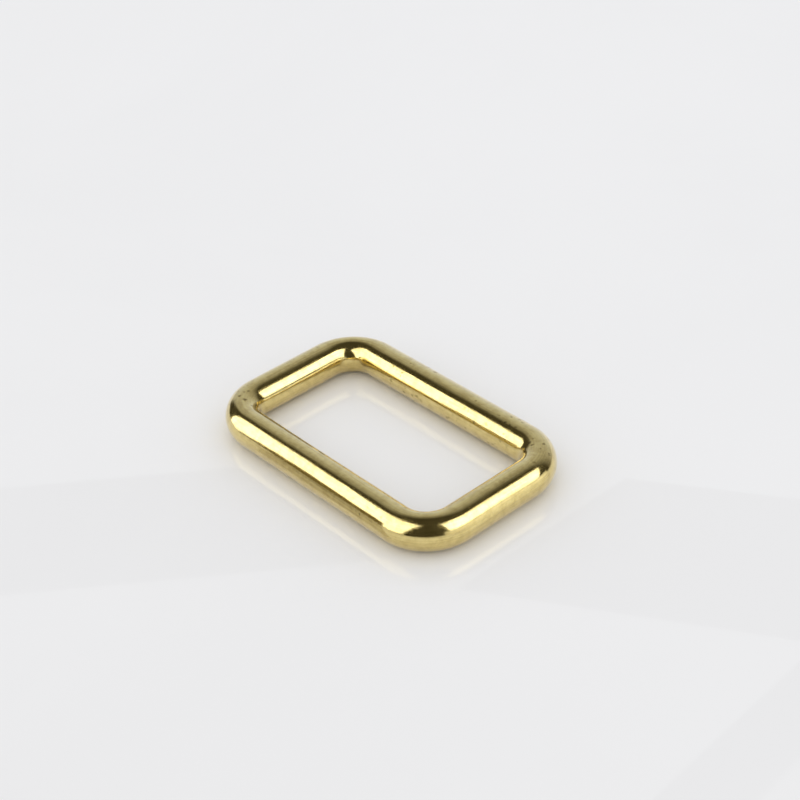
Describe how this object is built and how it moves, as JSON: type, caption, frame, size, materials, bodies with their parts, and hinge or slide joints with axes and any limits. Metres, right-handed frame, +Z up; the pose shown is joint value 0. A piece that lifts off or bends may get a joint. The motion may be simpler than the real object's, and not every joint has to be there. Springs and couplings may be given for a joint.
{
  "type": "rectangular strap slider ring",
  "caption": "Plain rectangular strap slider of polished brass: a round bar cast as one closed ring, with rounded corners and one clear rectangular opening for a flat strap.",
  "frame": {"origin": "centre of the ring's outline, on the surface that the ring lies on", "axes": "+X along the two long bars, +Y along the two short bars, +Z up, square to the ring's plane"},
  "size_m": [0.0324, 0.0206, 0.0037],
  "materials": {
    "polished_brass": "polished, with fine polishing lines and a few small casting pits"
  },
  "bodies": {
    "root": {"cast_ring": "polished_brass"}
  },
  "joints": []
}
